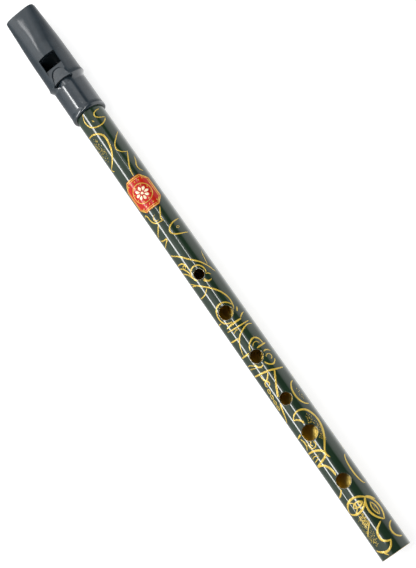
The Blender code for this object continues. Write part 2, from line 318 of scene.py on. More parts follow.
def channel_bottom(x):
    """Height of the channel's floor, which drops smoothly from the mouth to the window."""
    reach = min(max((x - MOUTH) / (WINDOW_START - MOUTH), 0.0), 1.0)
    return -CHANNEL_DEPTH_MOUTH - (CHANNEL_DEPTH_WINDOW - CHANNEL_DEPTH_MOUTH) * smooth_step(reach)


def channel_ring(x, half_width, top, bottom):
    """Upright slot section: square corners at the top, rounded ones at the bottom."""
    corner, corner_steps = 1.7, 10
    points = [(x, -half_width, top), (x, half_width, top)]
    for side, first in ((1.0, 0.0), (-1.0, 90.0)):
        for k in range(corner_steps + 1):
            angle = math.radians(first + 90.0 * k / corner_steps)
            points.append((x, side * (half_width - corner) + corner * math.cos(angle),
                           bottom + corner - corner * math.sin(angle)))
    return points


def channel(inset, top_mouth, top_window, first_x, last_x):
    """The channel through the beak, or with an inset the plug that fills its lower part."""
    steps = 14
    inner = [MOUTH + (WINDOW_START - MOUTH) * k / steps for k in range(1, steps)]
    half_width = WINDOW_HALF - inset
    return loft([channel_ring(x, half_width, along(top_mouth, top_window, x), channel_bottom(x) + inset)
                 for x in (first_x, *inner, last_x)])


def ramp_height(x):
    """Height of the ramp that leads from the blade's edge up to the rim."""
    return BLADE_TOP + (RAMP_TOP_Z - BLADE_TOP) / (RAMP_TOP_X - WINDOW_END) * (x - WINDOW_END)


def slanted(x, z):
    """Where a point of station x lies along the axis, once the slant of the flared edge is put in."""
    if x <= CONE_END:
        share = min(max((x - SLANT_START) / (SLANT_FULL - SLANT_START), 0.0), 1.0)
    else:
        share = max(1.0 - (x - CONE_END) / (SLANT_END - CONE_END), 0.0)
    return x - RIM_SLANT * (RIM_RADIUS - z) * smooth_step(share)


def scoop():
    """Thumb-shaped hollow in the ramp: arched towards the window, and wider and deeper towards the rim."""
    steps = 4
    rows = [smooth_row(SCOOP, left + (right - left) * k / steps)
            for (left, _), (right, _) in zip(SCOOP, SCOOP[1:]) for k in range(steps)] + [SCOOP[-1]]
    outline = [(x, -half) for x, half in rows[::-1]] + [(x, half) for x, half in rows[1:]]
    first_z = ramp_height(SCOOP[0][0]) - SCOOP_DEPTH
    slope = (SCOOP_RIM_Z - first_z) / (RIM - SCOOP[0][0])
    floor = [(x, y, first_z + slope * (x - SCOOP[0][0])) for x, y in outline]
    return loft([floor, [(x, y, CUT_TOP) for x, y in outline]])


def hood_hollow():
    """Crescent-shaped pocket under the rim on the window's side, cut into the front of the sleeve."""
    steps = 56
    sections = []
    for k in range(steps + 1):
        share = 2.0 * k / steps - 1.0
        bulge = math.cos(share * math.pi / 2.0) ** HOLLOW_ROUNDING
        end = RIM + HOLLOW_TIP + (HOLLOW_REACH - HOLLOW_TIP) * bulge
        under = RIM + HOLLOW_UNDER - HOLLOW_SETBACK * bulge
        front = HOLLOW_FRONT + HOLLOW_RISE * bulge
        # along the floor and up to the lip, then out past the hood, and back under it
        outline = ((HOLLOW_BACK, HOLLOW_FLOOR), (under - 0.2, HOLLOW_FLOOR), (end - 0.12, front),
                   (end, HOLLOW_LIP), (end + 0.2, HOLLOW_OPEN), (under, HOLLOW_OPEN),
                   (under, HOLLOW_CEILING), (HOLLOW_BACK, HOLLOW_FLOOR + 0.1))
        sections.append([around(x, HOLLOW_SPREAD * share, radius) for x, radius in outline])
    return loft(sections)


def bore_cut(start, end, radius):
    return loft([round_ring(start, radius), round_ring(end, radius)])


def head_solid():
    """Outside of the moulded head, before anything is cut out of it."""
    spacing = 0.8
    stations = [row[0] for row in BODY_SECTIONS]
    xs = []
    for left, right in zip(stations, stations[1:]):
        count = max(2, round((right - left) / spacing))
        xs += [left + (right - left) * k / count for k in range(count)]
    rings = [oval_ring(*smooth_row(BODY_SECTIONS, x)) for x in xs]
    rings += [round_ring(SLEEVE_END - before, radius) for before, radius in LIP_PROFILE]
    return loft([[(slanted(x, z), y, z) for x, y, z in ring] for ring in rings])


def carve(piece, cutters):
    """Subtract every cutter, then keep the result as the piece's own mesh."""
    made = []
    for number, builder in enumerate(cutters):
        cutter = add_piece(f"cutter_{number}", builder, None)
        modifier = piece.modifiers.new(f"cut_{number}", "BOOLEAN")
        modifier.operation = "DIFFERENCE"
        modifier.solver = "EXACT"
        modifier.object = cutter
        made.append(cutter)
    bpy.context.view_layer.update()
    evaluated = piece.evaluated_get(bpy.context.evaluated_depsgraph_get())
    mesh = bpy.data.meshes.new_from_object(evaluated)
    piece.modifiers.clear()
    piece.data = mesh
    for cutter in made:
        bpy.data.objects.remove(cutter, do_unlink=True)
    mesh.shade_smooth()
    mesh.set_sharp_from_angle(angle=math.radians(CARVED_SHARP))


def make_head(materials):
    head = add_piece("moulded_head", head_solid(), materials["plastic"])
    before, past = WINDOW_END - SHORT_OVERCUT, RIM + OVERCUT
    wedge = ((before, BLADE_TOP), (WINDOW_END, BLADE_TOP), (RAMP_TOP_X, RAMP_TOP_Z),
             (past, ramp_height(past)), (past, CUT_TOP), (before, CUT_TOP))
    carve(head, (
        bore_cut(WINDOW_START, SHOULDER + MIDDLE_OVERCUT, TUBE_INNER),
        bore_cut(SHOULDER, SLEEVE_END + OVERCUT, SOCKET_RADIUS),
        channel(0.0, CEILING_MOUTH, CEILING_WINDOW, MOUTH - MIDDLE_OVERCUT, WINDOW_START + SHORT_OVERCUT),
        block((WINDOW_START, -WINDOW_HALF, 0.0), (WINDOW_END, WINDOW_HALF, CUT_TOP)),
        block((WINDOW_END - MIDDLE_OVERCUT, -WINDOW_HALF, 0.0),
              (BLADE_FLAT_END, WINDOW_HALF, BLADE_UNDERSIDE)),
        loft([[(x, y, z) for x, z in wedge] for y in (-WINDOW_HALF, WINDOW_HALF)]),
        scoop(),
        hood_hollow(),
    ))
    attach(head, "head")
    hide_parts("mouthpiece")


def make_plug(materials):
    plug = channel(PLUG_GAP, FLOOR_MOUTH, FLOOR_WINDOW, MOUTH + PLUG_RECESS, WINDOW_START)
    add_piece("plug", plug, materials["plug"], "head", ("fipple_plug",))


def make_film(materials):
    """The adhesive's ends are uneven, as it spreads."""
    low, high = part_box("glue_film")
    start, end = low.x / MM, high.x / MM
    inner, outer, sides, uneven = 6.885, 6.965, 96, 0.5
    angles = [2.0 * math.pi * (k + 0.5) / sides for k in range(sides)]
    builder = bmesh.new()
    rings = []
    for radius, x, wander in ((inner, start, uneven), (outer, start, uneven),
                              (outer, end, -uneven), (inner, end, -uneven)):
        stations = [x + wander * (1.0 - 0.6 * math.sin(3 * a + x) - 0.4 * math.sin(7 * a)) for a in angles]
        rings.append([builder.verts.new(around(station, a, radius)) for station, a in zip(stations, angles)])
    bridge_all(builder, rings + rings[:1])
    add_piece("adhesive_film", builder, materials["adhesive"], "film", ("glue_film",))


# -------------------- tube

PATCH_HALF = 4.6        # half the side of the square patch round each hole
PATCH_STEPS = 16        # divisions of a patch's side
PATCH_RINGS = 6         # divisions of a patch from its hole outwards
PATCH_CROWDING = 1.3    # how much the rings crowd towards the hole
BACK_STEPS = 104        # divisions of the rest of the way round
STATION_SPACING = 6.0   # along the tube between the patches
# Rounding of an edge, as shares of its size: how far out from the edge's line, and how far down
RIM_ROUNDING = ((0.55, 0.12), (0.12, 0.5), (0.0, 1.0))
END_ROUNDING = ((0.35, 0.15), (0.05, 0.5), (0.0, 1.0))
ROUNDING_DEPTH = 0.8
TUBE_SHARP = 50.0       # degrees between faces from which an edge of the tube is sharp


def patch_square(k):
    """Point k round the patch's square, as shares of its half side, and anticlockwise from one corner."""
    side, rest = divmod(k, PATCH_STEPS)
    t = 2.0 * rest / PATCH_STEPS - 1.0
    return ((1.0, t), (-t, 1.0), (-1.0, -t), (t, -1.0))[side]


def even_steps(start, end):
    """Stations after start, up to and including end, about STATION_SPACING apart."""
    count = max(1, round((end - start) / STATION_SPACING))
    return [start + (end - start) * k / count for k in range(1, count + 1)]


def patch_ring(builder, x, hole, radius, share):
    """Ring of corners that is round the hole at share 0 and along the patch's square at share 1."""
    reach = PATCH_HALF / COAT_OUTER
    ring = []
    for k in range(4 * PATCH_STEPS):
        square_x, square_turn = patch_square(k)
        turn = math.atan2(square_turn, square_x)
        hole_x, hole_turn = hole * math.cos(turn), math.asin(hole * math.sin(turn) / radius)
        ring.append(builder.verts.new(around(x + hole_x + (square_x * PATCH_HALF - hole_x) * share,
                                             hole_turn + (square_turn * reach - hole_turn) * share, radius)))
    return ring


def skin(builder, start, end, radius, allowance, finish=0):
    """One face of the tube's wall with its holes. Returns its end rings and the rings round its holes."""
    reach = PATCH_HALF / COAT_OUTER
    stations = [start]
    for x, _ in HOLES:
        stations += even_steps(stations[-1], x - PATCH_HALF)
        stations += [x - PATCH_HALF + 2.0 * PATCH_HALF * k / PATCH_STEPS for k in range(1, PATCH_STEPS + 1)]
    stations += even_steps(stations[-1], end)
    angles = [-reach + 2.0 * reach * k / PATCH_STEPS for k in range(PATCH_STEPS)]
    angles += [reach + (2.0 * math.pi - 2.0 * reach) * k / BACK_STEPS for k in range(BACK_STEPS)]
    rings = [[builder.verts.new(around(x, a, radius)) for a in angles] for x in stations]
    for before, after, left, right in zip(rings, rings[1:], stations, stations[1:]):
        beside_hole = any(abs((left + right) / 2 - x) < PATCH_HALF for x, _ in HOLES)
        for i in range(PATCH_STEPS if beside_hole else 0, len(angles)):
            j = (i + 1) % len(angles)
            builder.faces.new((before[i], before[j], after[j], after[i])).material_index = finish
    rims = []
    for x, diameter in HOLES:
        hole = diameter / 2.0 + allowance
        shares = [(k / PATCH_RINGS) ** PATCH_CROWDING for k in range(PATCH_RINGS + 1)]
        loops = [patch_ring(builder, x, hole, radius, share) for share in shares]
        bridge_all(builder, loops, finish)
        rims.append(loops[0])
    return rings[0], rings[-1], rims, angles


def drilled_tube(start, end, inner, outer, allowance, edge, rim_finish=0, bore_finish=0):
    """Tube with its holes and rounded edges. The finishes are numbers among the piece's materials."""
    builder = bmesh.new()
    outer_start, outer_end, outer_rims, angles = skin(builder, start + edge, end - edge, outer,
                                                      allowance + edge)
    inner_start, inner_end, inner_rims, _ = skin(builder, start + edge / 2.0, end - edge / 2.0, inner,
                                                 allowance, bore_finish)
    for (x, diameter), outside, inside in zip(HOLES, outer_rims, inner_rims):
        hole = diameter / 2.0 + allowance
        rings = [outside]
        for grow, drop in RIM_ROUNDING:
            level = outer - edge * drop * ROUNDING_DEPTH
            rings.append(patch_ring(builder, x, hole + edge * grow, level, 0.0))
        bridge_all(builder, rings, rim_finish)
        bridge(builder, rings[-1], inside)
    # the rounded ends wear the bore's darker brass, which is partly painted shade
    for outside, inside, x, way in ((outer_start, inner_start, start, 1.0),
                                    (outer_end, inner_end, end, -1.0)):
        rings = [outside]
        for setback, drop in END_ROUNDING:
            level = outer - edge * drop * ROUNDING_DEPTH
            rings.append([builder.verts.new(around(x + way * edge * setback, a, level)) for a in angles])
        bridge_all(builder, rings + [inside], bore_finish)
    return builder


def make_tube(materials):
    tube = drilled_tube(TUBE_START, FOOT, TUBE_INNER, TUBE_OUTER, 0.0, TUBE_EDGE,
                        rim_finish=1, bore_finish=2)
    add_piece("brass_tube", tube, (materials["brass"], materials["burnished"], materials["bore"]),
              "whistle_tube", ("tube",), sharp=TUBE_SHARP)
    coat = drilled_tube(COAT_START, COAT_END, COAT_INNER, COAT_OUTER, COAT_SETBACK, COAT_EDGE)
    add_piece("enamel", coat, materials["enamel"],
              "whistle_tube", ("enamel_coat",), sharp=TUBE_SHARP)


# -------------------- printed ornament

PRINT_BASE, PRINT_TOP = 6.846, 6.872
PRINT_LIMITS = (-86.2, 146.9)
PRINT_SWELL_X, PRINT_SWELL = (20.0, 125.0), (1.0, 1.3)      # its lines are heavier towards the foot
PRINT_CLEARANCE = 0.03
ALL_ROUND = (-720.0, 720.0)
LINE_TOP, DOT_TOP = 0.72, 0.75      # width of the flat top, as a share of the whole width
FULLNESS = 0.8          # a line or leaf stays wide for longer below 1
SHORTEST_LINE = 4       # rings, where a hole or an end cuts a line
STIPPLE_TRIES = 6       # for each dot that is wanted
BLUNT_END = (0.35, 0.8)     # widths of the last two rings at each end of a line, as shares of its own
ARCH_SHAPE = ((0.0, 0.0), (0.16, 0.5), (0.5, 0.86))     # from a foot to the top: shares along and up
ARC_SPACING = 0.3


def round_at(angle):
    """Distance round the tube, on the enamel, to an angle in degrees."""
    return math.radians(angle) * COAT_OUTER


def degrees_at(v):
    return math.degrees(v / COAT_OUTER)


def spline(points, spacing=0.35):
    """Evenly spaced points on a smooth curve through points (x, degrees), returned as (x, distance round)."""
    substeps = 16
    p = [np.array((x, round_at(a))) for x, a in points]
    p = [2 * p[0] - p[1]] + p + [2 * p[-1] - p[-2]]
    fine = []
    for a, b, c, d in zip(p, p[1:], p[2:], p[3:]):
        for k in range(substeps):
            t = k / substeps
            fine.append(0.5 * (2 * b + (c - a) * t + (2 * a - 5 * b + 4 * c - d) * t * t
                               + (3 * b - a - 3 * c + d) * t ** 3))
    fine.append(p[-2])
    fine = np.array(fine)
    lengths = np.concatenate(([0.0], np.cumsum(np.linalg.norm(np.diff(fine, axis=0), axis=1))))
    count = max(4, int(lengths[-1] / spacing))
    at = np.linspace(0.0, lengths[-1], count + 1)
    return np.stack([np.interp(at, lengths, fine[:, 0]), np.interp(at, lengths, fine[:, 1])], axis=1)


def clear_of_holes(x, v, margin):
    angle = v / COAT_OUTER
    if abs(angle) > PATCH_HALF / COAT_OUTER:
        return True
    y = COAT_OUTER * math.sin(angle)
    return all(math.hypot(x - h, y) > d / 2.0 + COAT_SETBACK + margin for h, d in HOLES)


class Print:
    """Raised ink on the tube: strokes and dots, each a thin closed solid that keeps clear of the holes."""

    def __init__(self, base=PRINT_BASE, top=PRINT_TOP, span=ALL_ROUND):
        self.builder = bmesh.new()
        self.base, self.top = base, top
        self.span = [round_at(angle) for angle in span]

    def _allowed(self, x, v, half_width):
        return (clear_of_holes(x, v, half_width + PRINT_CLEARANCE)
                and PRINT_LIMITS[0] < x < PRINT_LIMITS[1] and self.span[0] < v < self.span[1])

    def _vert(self, x, v, radius):
        return self.builder.verts.new(around(x, v / COAT_OUTER, radius))

    def _ribbon(self, path, widths):
        tangents = np.gradient(path, axis=0)
        tangents /= np.linalg.norm(tangents, axis=1)[:, None] + 1e-9
        normals = np.stack([-tangents[:, 1], tangents[:, 0]], axis=1)
        rings = []
        for point, normal, width in zip(path, normals, widths):
            half = width / 2.0
            shoulder = half * LINE_TOP
            profile = (-half, self.base), (-shoulder, self.top), (shoulder, self.top), (half, self.base)
            rings.append([self._vert(*(point + normal * offset), radius) for offset, radius in profile])
        bridge_all(self.builder, rings)
        self.builder.faces.new(rings[0])
        self.builder.faces.new(rings[-1])

    def stroke(self, points, width=0.6, thin=0.3, swell=0.5, path=None):
        """Line from thin at its ends to width, which it reaches at the share swell of the way along."""
        path = spline(points) if path is None else path
        t = np.linspace(0.0, 1.0, len(path))
        bend = math.log(0.5) / math.log(swell)
        widths = thin + (width - thin) * np.sin(np.pi * t ** bend) ** FULLNESS
        widths *= np.interp(path[:, 0], PRINT_SWELL_X, PRINT_SWELL)
        keep = [self._allowed(x, v, w / 2) for (x, v), w in zip(path, widths)]
        run = []
        for i, good in enumerate(keep + [False]):
            if good:
                run.append(i)
                continue
            if len(run) >= SHORTEST_LINE:
                w = widths[run].copy()
                w[[0, -1]] *= BLUNT_END[0]
                w[[1, -2]] *= BLUNT_END[1]
                self._ribbon(path[run], w)
            run = []

    def ring(self, x, angle, radius, width=0.5, thin=0.35, start=0.0, turn=360.0, tall=1.0):
        """Round stroke about (x, angle). Start and turn are in degrees, and start 0 is towards the foot."""
        self.spiral(x, angle, radius, radius, width, thin, start, turn, tall)

    def spiral(self, x, angle, first, last, width=0.5, thin=0.25, start=0.0, turn=360.0, tall=1.0):
        """Stroke whose radius goes from first to last; tall stretches it round the tube."""
        v = round_at(angle)
        count = max(8, int(abs(math.radians(turn)) * max(first, last) / ARC_SPACING))
        path = []
        for k in range(count + 1):
            t = k / count
            a, r = math.radians(start + turn * t), first + (last - first) * t
            path.append((x + r * math.cos(a), v + tall * r * math.sin(a)))
        self.stroke(None, width, thin, path=np.array(path))

    def arch(self, x0, x1, base, apex, width=0.7, thin=0.35, lean=0.5):
        """Arch over x0 to x1, its feet at angle base and its top at angle apex; lean is where the top is."""
        top = x0 + (x1 - x0) * lean
        rise = apex - base
        near = [(x0 + (top - x0) * share, base + rise * up) for share, up in ARCH_SHAPE]
        far = [(x1 - (x1 - top) * share, base + rise * up) for share, up in ARCH_SHAPE[::-1]]
        self.stroke([*near, (top, apex), *far], width, thin)

    def dot(self, x, angle, radius):
        v = round_at(angle)
        if not self._allowed(x, v, radius):
            return
        sides = 8
        rings = []
        for share, level in ((1.0, self.base), (DOT_TOP, self.top)):
            rings.append([self._vert(x + radius * share * math.cos(2 * math.pi * k / sides),
                                     v + radius * share * math.sin(2 * math.pi * k / sides), level)
                          for k in range(sides)])
        bridge(self.builder, rings[0], rings[1])
        self.builder.faces.new(rings[0])
        self.builder.faces.new(rings[1])

    def stipple(self, x0, x1, low, high, count, radius=0.16, seed=1, inside=None):
        """Dots scattered over an oval that fills the given range, or over its part where inside is true."""
        source = random.Random(seed)
        made = 0
        for _ in range(count * STIPPLE_TRIES):
            if made >= count:
                break
            px, py = source.uniform(-1, 1), source.uniform(-1, 1)
            size = radius * source.uniform(0.7, 1.2)
            if px * px + py * py > 1.0:
                continue
            x, angle = (x0 + x1) / 2 + px * (x1 - x0) / 2, (low + high) / 2 + py * (high - low) / 2
            if inside and not inside(x, angle):
                continue
            self.dot(x, angle, size)
            made += 1

    def beads(self, points, spacing=0.9, radius=0.18):
        for x, v in spline(points, spacing):
            self.dot(x, degrees_at(v), radius)

    def leaf(self, x0, a0, x1, a1, bulge, width=0.5, thin=0.3):
        """Two bowed strokes from (x0, a0) to (x1, a1) that part by bulge millimetres each way."""
        steps = 6
        start, end = np.array((x0, round_at(a0))), np.array((x1, round_at(a1)))
        across = np.array((-(end - start)[1], (end - start)[0]))
        across /= np.linalg.norm(across)
        for way in (1.0, -1.0):
            points = []
            for k in range(steps + 1):
                t = k / steps
                q = start + (end - start) * t + across * way * bulge * math.sin(math.pi * t) ** FULLNESS
                points.append((q[0], degrees_at(q[1])))
            self.stroke(points, width, thin)

    def solid(self, name, material, slot):
        add_piece(name, self.builder, material, "whistle_tube", merge=0)


def ornament_front(ink):
    # below the head
    ink.stroke([(-86, -14), (-82.5, -27), (-79, -20), (-77, 0), (-76.6, 24), (-77.8, 44), (-79.6, 55)])
    ink.arch(-84.4, -79.6, 54, 20, 0.5)
    ink.stroke([(-80.8, 0), (-79.4, 7)], 0.5)
    ink.arch(-76.2, -57.4, -62, 7, 0.85, 0.5, 0.33)
    ink.stipple(-74, -61, -64, -22, 90, seed=3)
    ink.stroke([(-70.6, 66), (-68, 42), (-65, 20), (-62.4, 16), (-60.4, 28), (-59.6, 46)], 0.5)
    ink.stroke([(-59.8, 48), (-56, 31), (-52, 16), (-48, 10)])
    ink.stroke([(-56.6, 62), (-54, 54), (-51.5, 44), (-49.4, 46), (-48, 56)], 0.5)
    ink.stroke([(-58, -66), (-56.6, -56), (-55.8, -46)], 0.5)
    # below the badge
    ink.stroke([(-30, -62), (-30.4, -46), (-29, -40), (-26, -36), (-24, -20), (-23.2, 6)])
    ink.stroke([(-29.5, 26), (-27, 14), (-24.6, 4), (-22.8, 8)])
    ink.stroke([(-23.4, -16), (-21.4, -33), (-19.6, -56), (-19.2, -66)], 0.65)
    ink.arch(-27.6, -24.6, -8, -22, 0.4, 0.25)
    ink.stroke([(-17.6, -64), (-16.2, -44), (-15.6, -24), (-14.4, -38), (-13.4, -64)])
    ink.arch(-20.8, -13.2, 64, 3, 0.65)
    ink.ring(-17.2, 38, 0.55, 0.3, 0.25)
    # round hole 1
    ink.stroke([(-9.6, -66), (-6, -26), (-2, 2), (2, 32), (5.4, 50), (8.4, 62)], 0.65)
    ink.stroke([(-3, 64), (0, 56), (4, 50)], 0.35, 0.2)
    ink.ring(5.4, 0, 3.6, 0.6, 0.4, 60, 250, 0.95)
    ink.ring(9.2, 22, 1.7, 0.55, 0.35, 100, 290)
    ink.stroke([(8.6, 0), (10.2, 6), (11.3, 20)], 0.5)
    ink.stroke([(-3.6, -66), (-3.2, -44), (-1.8, -26), (1.4, -20)])
    ink.stroke([(-2.4, -70), (-0.6, -44), (2.6, -30), (4.6, -34)])
    ink.stroke([(0.2, -70), (1.4, -54), (3.2, -38), (5.4, -30), (8.2, -18)], 0.55)
    ink.ring(-0.6, -33, 0.8, 0.35, 0.25)
    # between holes 1 and 2
    ink.stroke([(6, -66), (8, -44), (11, -18), (14, 6), (18, 30), (22, 41), (25.6, 38), (27.8, 28)], 0.65)
    ink.stroke([(14.2, -66), (14.8, -42), (14.6, -24), (13.2, -6)], 0.55)
    ink.stroke([(7.6, -62), (8.4, -48), (9.2, -36)])
    # round hole 2
    ink.ring(26.8, 0, 4.7, 0.7, 0.4, 110, 250, 0.98)
    ink.stroke([(29, -66), (28.6, -52), (29.2, -42)], 0.5)
    ink.stroke([(32.4, -34), (32.4, -8), (32.4, 34)], 0.85, 0.5)
    ink.stroke([(33.6, -42), (34.4, -18), (34.8, 16), (34.6, 56)])
    ink.stroke([(32.2, 32), (30.8, 46), (30.2, 60)], 0.55)
    ink.stroke([(26.8, 48), (28.8, 38)], 0.6, 0.4)
    ink.stroke([(36.2, -22), (35.6, -4), (36.4, 10)], 0.3, 0.2)
    # round hole 3
    ink.stroke([(36.4, 62), (35.9, 42), (36.8, 18), (39, -12), (42.4, -32), (46, -44)], 0.65)
    ink.stroke([(37.6, -66), (38.4, -40), (38.9, -16)])
    ink.stroke([(46, -66), (46.6, -30), (46.9, 10), (46.6, 60)], 0.75, 0.5)
    ink.stroke([(46.6, -8), (44.4, 0), (42.8, 16), (42.4, 32), (43.8, 46), (46.6, 51)], 0.65)
    ink.stroke([(45.6, 8), (44.4, 18), (44.2, 30), (45.4, 38)], 0.3, 0.2)
    ink.stroke([(51, -24), (53.4, -20), (54.6, -8), (54, 6)], 0.65)
    ink.stroke([(52.6, -26), (51, -44), (50.4, -64)], 0.35, 0.25)
    ink.stroke([(53.6, -28), (52.6, -46), (52, -64)], 0.35, 0.25)
    ink.stroke([(52.2, 16), (50, 28), (49.4, 44), (50.6, 58)])
    ink.stroke([(53.4, 12), (55.2, 20), (56.2, 34), (55.6, 46), (54.4, 54)])
    ink.ring(52.6, 38, 1.3, 0.35, 0.25, 0, 250)
    # between holes 3 and 4
    ink.stroke([(55.6, -66), (56.6, -30), (57.6, 6), (58.8, 34), (59.4, 62)], 0.75, 0.5)
    ink.stroke([(56.8, -32), (59.4, -30), (60.4, -20), (59.4, -8), (57.8, 2)])
    ink.ring(61.8, -27, 1.2, 0.55, 0.35, 0, 330)
    for k in range(4):
        ink.leaf(63.4 + 2.6 * k, -38 - 4 * k, 65.8 + 2.6 * k, -42 - 4 * k, 0.7, 0.45, 0.3)
    ink.stroke([(58.6, 26), (63, 6), (68, -16), (73, -34), (78, -52), (79.4, -66)], 0.8, 0.5)
    ink.arch(66.2, 78.2, 64, 34, 0.65)
    ink.stipple(70, 75.4, 50, 64, 16, 0.14, seed=5)
    # round hole 5
    ink.stroke([(80.4, -24), (78.8, -6), (78.6, 18), (80.4, 40), (84.4, 54), (88.6, 52), (93, 36), (96.6, 16),
                (99.4, 0)], 0.8, 0.4)
    ink.stroke([(80.6, -24), (81.6, -8), (83.4, 2), (85.4, -4), (86.6, -22), (87.2, -44), (87.4, -66)],
               0.8, 0.45, 0.6)
    ink.stroke([(88.2, -50), (90, -42), (92.4, -44), (94, -58)])
    ink.stipple(81.5, 95, 14, 46, 110, 0.13, seed=7,
                inside=lambda x, a: math.hypot(x - 88.7, round_at(a)) > 4.1)
    ink.spiral(93.2, -16, 2.2, 0.5, 0.4, 0.25, 200, 520)
    ink.beads([(90.6, -36), (93, -38), (95, -30)], 0.6, 0.15)
    # between holes 5 and 6
    ink.arch(95, 101.6, -66, 4, 0.8, 0.5, 0.62)
    ink.stroke([(98, -60), (97.6, -40), (98.6, -20)], 0.35, 0.25)
    ink.stroke([(99.6, -60), (99.4, -40), (99.2, -24)], 0.35, 0.25)
    ink.beads([(96.8, -60), (96.8, -36), (98.2, -14)], 0.7, 0.14)
    ink.stroke([(101.8, -62), (102.4, -34), (104.6, -16), (108, -10), (110.4, -14)], 0.75, 0.45)
    ink.stroke([(98, 2), (100.4, 6), (101.6, 10)])
    ink.arch(103.6, 118, 66, 48, 0.6)
    ink.stroke([(117, -66), (116.6, -46), (115.6, -32), (114.2, -24)], 0.65)
    # towards the foot
    ink.leaf(124.4, -66, 122.6, 30, 3.1, 0.75, 0.45)
    ink.leaf(123.6, -28, 123.6, 14, 1.1)
    ink.ring(123.6, 2, 0.55, 0.4, 0.3)
    ink.stipple(122.4, 124.8, -26, -4, 16, 0.14, seed=13)
    ink.arch(120.8, 126.4, -44, -14, 0.35, 0.25)
    ink.leaf(122.6, 30, 134.2, 42, 2.6, 0.65, 0.4)
    ink.leaf(125.4, 34, 131.6, 38, 1.0, 0.4, 0.25)
    ink.stipple(126.8, 130.4, 33, 39, 10, 0.12, seed=15)
    ink.stipple(128, 142, -58, -14, 90, 0.12, seed=17)
    ink.stroke([(122.4, 30), (123.6, 46), (125.6, 60)])
    for k in range(6):
        ink.ring(128 + 0.85 * k, -12 - 6 * (k % 2), 0.42, 0.25, 0.2)
        ink.ring(128.4 + 0.85 * k, -26 - 5 * (k % 2), 0.42, 0.25, 0.2)
    ink.stroke([(136.4, -52), (134, -28), (131.8, -6)], 0.4, 0.25)
    ink.stipple(133.6, 141, -50, -20, 60, 0.14, seed=9)
    ink.stroke([(134, 26), (136, 0), (138.6, -10), (140.8, -6), (142, 8), (142.2, 20)], 0.75, 0.4)
    ink.stroke([(142.3, 18), (144.2, 6), (145.2, -12), (144.6, -32), (142.6, -60)], 0.75, 0.4)
    ink.stroke([(144.4, -34), (146.8, -18)], 0.5, 0.35)
    ink.arch(136, 143.4, 66, 38, 0.6)


def ornament_back(ink):
    """The unseen side carries the same kinds of scroll, repeated with small changes."""
    source = random.Random(11)
    x, side = -82.0, 1
    while x < 132.0:
        length = source.uniform(11.0, 15.0)
        low, high = 100 + source.uniform(-6, 6), 262 + source.uniform(-6, 6)
        middle = 180 + source.uniform(-10, 10)
        if side > 0:
            ink.arch(x, x + length, low - 34, middle - 18, 0.75, 0.4, source.uniform(0.35, 0.65))
            ink.arch(x + 2, x + length - 3, high + 34, middle + 34, 0.65, 0.35, source.uniform(0.35, 0.65))
            ink.spiral(x + length * 0.5, middle - 52, 2.6, 0.6, 0.5, 0.3, 90, 560)
            ink.stipple(x + 2, x + length - 2, low - 26, low + 14, 26, 0.15, seed=int(x) + 200)
        else:
            ink.stroke([(x, low - 30), (x + length * 0.3, low + 16), (x + length * 0.5, middle),
                        (x + length * 0.7, high - 30), (x + length, high + 26)], 0.75, 0.35)
            ink.stroke([(x + 2, high + 30), (x + length * 0.35, high - 18), (x + length * 0.62, high - 26),
                        (x + length * 0.8, high + 6)], 0.6, 0.3)
            ink.leaf(x + length * 0.55, low - 20, x + length * 0.95, low + 30, 1.5, 0.55, 0.35)
            ink.ring(x + length * 0.2, middle + 34, 1.5, 0.5, 0.3, 0, 340)
            ink.beads([(x + length * 0.3, middle + 8), (x + length * 0.5, middle + 24),
                       (x + length * 0.78, middle + 20)], 0.8, 0.17)
        x += length + source.uniform(0.4, 1.4)
        side = -side


def make_ornament(materials):
    front = Print()
    ornament_front(front)
    front.solid("ornament_front", materials["gold"], "gold_print")
    back = Print(span=(88.0, 272.0))
    ornament_back(back)
    back.solid("ornament_back", materials["gold"], "gold_print")


# -------------------- badge

BADGE_LOW, BADGE_HIGH = (corner.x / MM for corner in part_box("badge_transfer"))
BADGE_CENTRE, BADGE_HALF = (BADGE_LOW + BADGE_HIGH) / 2, (BADGE_HIGH - BADGE_LOW) / 2
BADGE_REACH = 58.0      # degrees each way round the tube
BADGE_BEND = 30.0       # where the panel's ends start to narrow
BADGE_TAPER = 0.015     # share of the half length lost with each degree past the bend
BADGE_TOP, BADGE_MARGIN = 6.9, 0.1
BADGE_LINES = ((0.45, 0.5), (1.25, 0.25))       # inset from the panel's edge, width
BADGE_INK_DEPTH, BADGE_GOLD_HEIGHT, BADGE_CREAM_HEIGHT = 0.004, 0.022, 0.018
ROSETTE_RING, ROSETTE_DOTS, PETALS = 4.6, 3.9, 8
PETAL_START, PETAL_END = 1.1, 3.3
SIDE_DOTS = 6.1         # from the badge's centre to the rows of dots beside the rosette


def badge_half_length(angle):
    return BADGE_HALF * (1.0 - BADGE_TAPER * max(abs(angle) - BADGE_BEND, 0.0))


def badge_panel():
    """Curved plate with eight sides, the length of the badge and following the tube."""
    builder = bmesh.new()
    steps, lengths = 40, 12
    shells = []
    for radius in (PRINT_BASE, BADGE_TOP):
        rows = []
        for k in range(steps + 1):
            angle = -BADGE_REACH + 2 * BADGE_REACH * k / steps
            half = badge_half_length(angle) - BADGE_MARGIN
            rows.append([builder.verts.new(around(BADGE_CENTRE - half + 2 * half * j / lengths,
                                                  math.radians(angle), radius)) for j in range(lengths + 1)])
        for before, after in zip(rows, rows[1:]):
            bridge(builder, before, after, closed=False)
        shells.append(rows)
    low, high = shells

    def outline(rows):
        return rows[0] + [row[-1] for row in rows[1:]] + rows[-1][-2::-1] + [row[0] for row in rows[-2:0:-1]]

    bridge(builder, outline(low), outline(high))
    return builder


